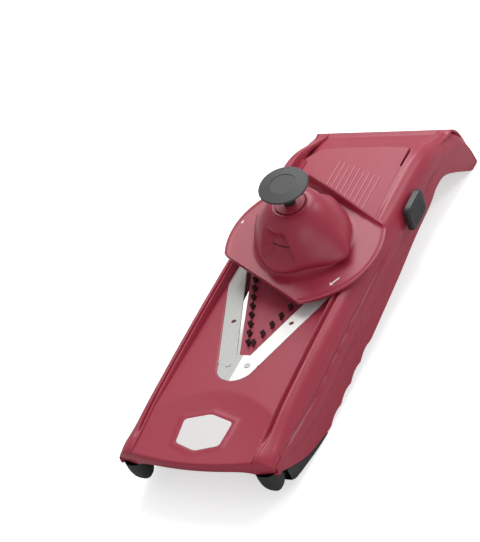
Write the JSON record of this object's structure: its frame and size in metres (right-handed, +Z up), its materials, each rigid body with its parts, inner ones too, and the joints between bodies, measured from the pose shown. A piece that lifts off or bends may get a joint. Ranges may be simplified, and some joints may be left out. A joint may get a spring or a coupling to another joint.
{
  "type": "mandoline slicer",
  "caption": "Hand-held V-blade slicer: sloping tray on rubber feet, V blade, sliding julienne insert with a side lock button, and a domed food holder with a plunger.",
  "frame": {"origin": "centre of the overall box at the surface that the slicer stands on", "axes": "+Z up, +Y along the tray from the front lip to the handle, +X to the side with the lock button"},
  "size_m": [0.141, 0.3938, 0.1347],
  "materials": {
    "red_moulding": "satin, fine moulded grain",
    "red_insert": "satin",
    "red_holder": "satin",
    "black_rubber": "matt",
    "blade_steel": "ground",
    "rivet_steel": "satin",
    "knife_steel": "dark satin",
    "white_badge": "matt",
    "black_button": "satin",
    "dark_nylon": "matt",
    "spring_steel": "bright",
    "grey_knob": "satin",
    "spike_steel": "bright"
  },
  "bodies": {
    "frame": {"main_frame": "red_moulding", "left_foot": "black_rubber", "right_foot": "black_rubber", "left_blade": "blade_steel", "right_blade": "blade_steel", "blade_rivets": "rivet_steel", "deck_badge": "white_badge"},
    "insert": {"insert_plate": "red_insert", "left_julienne_knives": "knife_steel", "right_julienne_knives": "knife_steel"},
    "lock": {"lock_button": "black_button", "lock_catch": "dark_nylon", "lock_spring": "spring_steel"},
    "holder": {"food_holder": "red_holder", "stem_bush": "red_holder"},
    "plunger": {"plunger_stem": "dark_nylon", "plunger_knob": "grey_knob", "knob_cap": "grey_knob", "pressure_plate": "dark_nylon", "food_spikes": "spike_steel", "plate_screw": "spike_steel"}
  },
  "joints": [
    {"name": "insert_slide", "type": "slide", "parent": "frame", "child": "insert", "axis": [0, 0.9993, 0.0387], "range_m": [0, 0.12]},
    {"name": "lock_press", "type": "slide", "parent": "frame", "child": "lock", "axis": [-1, 0, 0], "range_m": [0, 0.002], "stiffness_N_per_m": 600, "springref_m": -0.003, "deforming": ["lock_spring"]},
    {"name": "holder_slide", "type": "slide", "parent": "frame", "child": "holder", "axis": [0, 0.9993, 0.0387], "range_m": [-0.09, 0.08]},
    {"name": "plunger_press", "type": "slide", "parent": "holder", "child": "plunger", "axis": [0.1281, -0.1279, 0.9835], "range_m": [-0.012, 0.006]}
  ]
}
